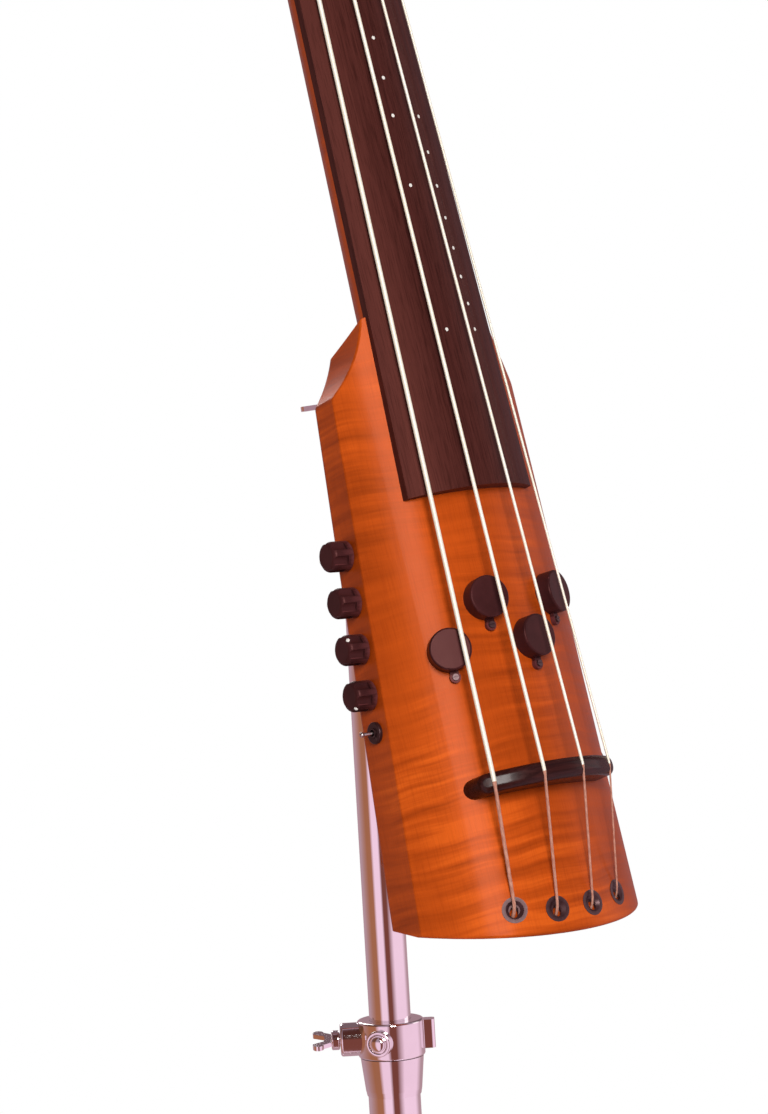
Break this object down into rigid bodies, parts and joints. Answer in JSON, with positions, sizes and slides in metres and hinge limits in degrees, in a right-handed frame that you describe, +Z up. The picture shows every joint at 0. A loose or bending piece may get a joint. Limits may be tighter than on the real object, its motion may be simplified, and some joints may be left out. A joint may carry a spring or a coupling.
{
  "type": "electric upright bass",
  "caption": "Slim electric upright bass with an arched maple body and fretless neck, leaning on a folding tripod stand with an adjustable mast and tilt joint.",
  "frame": {"origin": "on the floor, under the centre of the whole object's box", "axes": "+Z up; the strings face -Y; the bass side is -X and the treble side is +X"},
  "size_m": [0.6554, 0.571, 1.9165],
  "materials": {
    "maple": "gloss amber lacquer over flamed maple",
    "ebony": "satin, closed grain",
    "dot_inlay": "flush white inlay",
    "black_plastic": "smooth black moulding",
    "black_hardware": "black plated",
    "plain_steel": "machined",
    "string_steel": "flat-wound, polished",
    "circuit_board": "solder mask",
    "battery_can": "plain printed can",
    "chrome": "bright chrome plate",
    "rubber": "moulded matt"
  },
  "bodies": {
    "stand_base": {"lower_tube": "chrome", "tube_sleeve": "chrome", "leg_hub": "chrome"},
    "clamp": {"height_clamp": "chrome", "clamp_stop_bolt": "chrome"},
    "clamp_wing": {"clamp_wing_screw": "chrome"},
    "mast": {"mast_tube": "chrome", "mast_head": "chrome"},
    "instrument": {"body": "maple", "neck": "maple", "fingerboard": "ebony", "position_dots": "dot_inlay", "nut": "ebony", "truss_rod": "plain_steel", "string_ferrules": "black_hardware", "bridge": "ebony", "tuner_housings": "black_hardware", "control_pots": "plain_steel", "toggle_switch": "black_hardware", "output_jack": "black_hardware", "rear_cover": "black_plastic", "preamp_board": "circuit_board", "battery": "battery_can", "wood_screws": "black_hardware", "mount_plate": "chrome", "mount_screws": "chrome", "string_e": "string_steel", "string_a": "string_steel", "string_d": "string_steel", "string_g": "string_steel", "pickup_e": "black_plastic", "pickup_a": "black_plastic", "pickup_d": "black_plastic", "pickup_g": "black_plastic"},
    "tilt_wing": {"tilt_wing_bolt": "chrome"},
    "collar": {"tripod_collar": "chrome"},
    "collar_wing": {"collar_wing_bolt": "chrome"},
    "toggle": {"toggle_lever": "plain_steel"},
    "leg_1": {"leg_1": "chrome", "foot_1": "rubber"},
    "brace_1": {"brace_1": "chrome"},
    "leg_2": {"leg_2": "chrome", "foot_2": "rubber"},
    "brace_2": {"brace_2": "chrome"},
    "leg_3": {"leg_3": "chrome", "foot_3": "rubber"},
    "brace_3": {"brace_3": "chrome"},
    "key_e": {"tuner_key_e": "black_hardware"},
    "post_e": {"tuner_post_e": "black_hardware"},
    "key_a": {"tuner_key_a": "black_hardware"},
    "post_a": {"tuner_post_a": "black_hardware"},
    "key_d": {"tuner_key_d": "black_hardware"},
    "post_d": {"tuner_post_d": "black_hardware"},
    "key_g": {"tuner_key_g": "black_hardware"},
    "post_g": {"tuner_post_g": "black_hardware"},
    "volume_knob": {"volume_knob": "black_plastic"},
    "blend_knob": {"blend_knob": "black_plastic"},
    "bass_knob": {"bass_knob": "black_plastic"},
    "treble_knob": {"treble_knob": "black_plastic"}
  },
  "joints": [
    {"name": "mast_turn", "type": "hinge", "parent": "stand_base", "child": "clamp", "pos_m": [0, -0.09085, 0.5503], "axis": [0, 0, 1], "continuous": true},
    {"name": "clamp_wing_turn", "type": "hinge", "parent": "clamp", "child": "clamp_wing", "pos_m": [-0.02433, -0.0733, 0.56155], "axis": [-0.8111, 0.585, 0], "range_deg": [-90, 360]},
    {"name": "mast_height", "type": "slide", "parent": "clamp", "child": "mast", "axis": [0, 0, 1], "range_m": [-0.15, 0.15]},
    {"name": "lean", "type": "hinge", "parent": "mast", "child": "instrument", "pos_m": [0, -0.09085, 0.94853], "axis": [1, 0, 0], "range_deg": [-17, 13]},
    {"name": "tilt_wing_turn", "type": "hinge", "parent": "instrument", "child": "tilt_wing", "pos_m": [-0.016, -0.09085, 0.94853], "axis": [-1, 0, 0], "range_deg": [-90, 360]},
    {"name": "collar_slide", "type": "slide", "parent": "stand_base", "child": "collar", "axis": [0, 0, 1], "range_m": [0, 0.11119]},
    {"name": "collar_wing_turn", "type": "hinge", "parent": "collar", "child": "collar_wing", "pos_m": [0, -0.12485, 0.2914], "axis": [0, -1, 0], "range_deg": [-90, 360]},
    {"name": "leg_1_fold", "type": "hinge", "parent": "collar", "child": "leg_1", "pos_m": [0, -0.05685, 0.2854], "axis": [-1, 0, 0], "range_deg": [0, 42.1]},
    {"name": "brace_1_fold", "type": "hinge", "parent": "stand_base", "child": "brace_1", "pos_m": [0, -0.05685, 0.07971], "axis": [1, 0, 0], "range_deg": [0, 42.1]},
    {"name": "leg_2_fold", "type": "hinge", "parent": "collar", "child": "leg_2", "pos_m": [-0.02944, -0.10785, 0.2854], "axis": [0.5, -0.866, 0], "range_deg": [0, 42.1]},
    {"name": "brace_2_fold", "type": "hinge", "parent": "stand_base", "child": "brace_2", "pos_m": [-0.02944, -0.10785, 0.07971], "axis": [-0.5, 0.866, 0], "range_deg": [0, 42.1]},
    {"name": "leg_3_fold", "type": "hinge", "parent": "collar", "child": "leg_3", "pos_m": [0.02944, -0.10785, 0.2854], "axis": [0.5, 0.866, 0], "range_deg": [0, 42.1]},
    {"name": "brace_3_fold", "type": "hinge", "parent": "stand_base", "child": "brace_3", "pos_m": [0.02944, -0.10785, 0.07971], "axis": [-0.5, -0.866, 0], "range_deg": [0, 42.1]},
    {"name": "key_e_turn", "type": "hinge", "parent": "instrument", "child": "key_e", "pos_m": [-0.021, 0.12232, 1.80124], "axis": [-1, 0, 0], "continuous": true},
    {"name": "post_e_turn", "type": "hinge", "parent": "instrument", "child": "post_e", "pos_m": [-0.021, 0.11152, 1.79456], "axis": [0, -0.8652, 0.5015], "continuous": true},
    {"name": "key_a_turn", "type": "hinge", "parent": "instrument", "child": "key_a", "pos_m": [-0.021, 0.15743, 1.8618], "axis": [-1, 0, 0], "continuous": true},
    {"name": "post_a_turn", "type": "hinge", "parent": "instrument", "child": "post_a", "pos_m": [-0.021, 0.14662, 1.85512], "axis": [0, -0.8652, 0.5015], "continuous": true},
    {"name": "key_d_turn", "type": "hinge", "parent": "instrument", "child": "key_d", "pos_m": [0.021, 0.15743, 1.8618], "axis": [1, 0, 0], "continuous": true},
    {"name": "post_d_turn", "type": "hinge", "parent": "instrument", "child": "post_d", "pos_m": [0.021, 0.14662, 1.85512], "axis": [0, -0.8652, 0.5015], "continuous": true},
    {"name": "key_g_turn", "type": "hinge", "parent": "instrument", "child": "key_g", "pos_m": [0.021, 0.12232, 1.80124], "axis": [1, 0, 0], "continuous": true},
    {"name": "post_g_turn", "type": "hinge", "parent": "instrument", "child": "post_g", "pos_m": [0.021, 0.11152, 1.79456], "axis": [0, -0.8652, 0.5015], "continuous": true},
    {"name": "volume_knob_turn", "type": "hinge", "parent": "instrument", "child": "volume_knob", "pos_m": [-0.06973, -0.17216, 0.86464], "axis": [-0.9991, 0.0129, 0.0394], "range_deg": [-140, 140]},
    {"name": "blend_knob_turn", "type": "hinge", "parent": "instrument", "child": "blend_knob", "pos_m": [-0.07087, -0.17887, 0.8379], "axis": [-0.9991, 0.0129, 0.0394], "range_deg": [-140, 140]},
    {"name": "bass_knob_turn", "type": "hinge", "parent": "instrument", "child": "bass_knob", "pos_m": [-0.07202, -0.18552, 0.81115], "axis": [-0.9991, 0.0129, 0.0394], "range_deg": [-140, 140]},
    {"name": "treble_knob_turn", "type": "hinge", "parent": "instrument", "child": "treble_knob", "pos_m": [-0.07314, -0.19201, 0.78486], "axis": [-0.9991, 0.0129, 0.0394], "range_deg": [-140, 140]},
    {"name": "toggle_flip", "type": "hinge", "parent": "instrument", "child": "toggle", "pos_m": [-0.07405, -0.19725, 0.76343], "axis": [0.0415, 0.3104, 0.9497], "range_deg": [0, 24]}
  ],
  "couplings": [
    {"joint": "leg_1_fold", "follows": "collar_slide", "rad_per_m": 6.5927},
    {"joint": "brace_1_fold", "follows": "collar_slide", "rad_per_m": 6.5927},
    {"joint": "leg_2_fold", "follows": "collar_slide", "rad_per_m": 6.5927},
    {"joint": "brace_2_fold", "follows": "collar_slide", "rad_per_m": 6.5927},
    {"joint": "leg_3_fold", "follows": "collar_slide", "rad_per_m": 6.5927},
    {"joint": "brace_3_fold", "follows": "collar_slide", "rad_per_m": 6.5927},
    {"joint": "post_e_turn", "follows": "key_e_turn", "ratio": 0.05},
    {"joint": "post_a_turn", "follows": "key_a_turn", "ratio": 0.05},
    {"joint": "post_d_turn", "follows": "key_d_turn", "ratio": 0.05},
    {"joint": "post_g_turn", "follows": "key_g_turn", "ratio": 0.05}
  ]
}
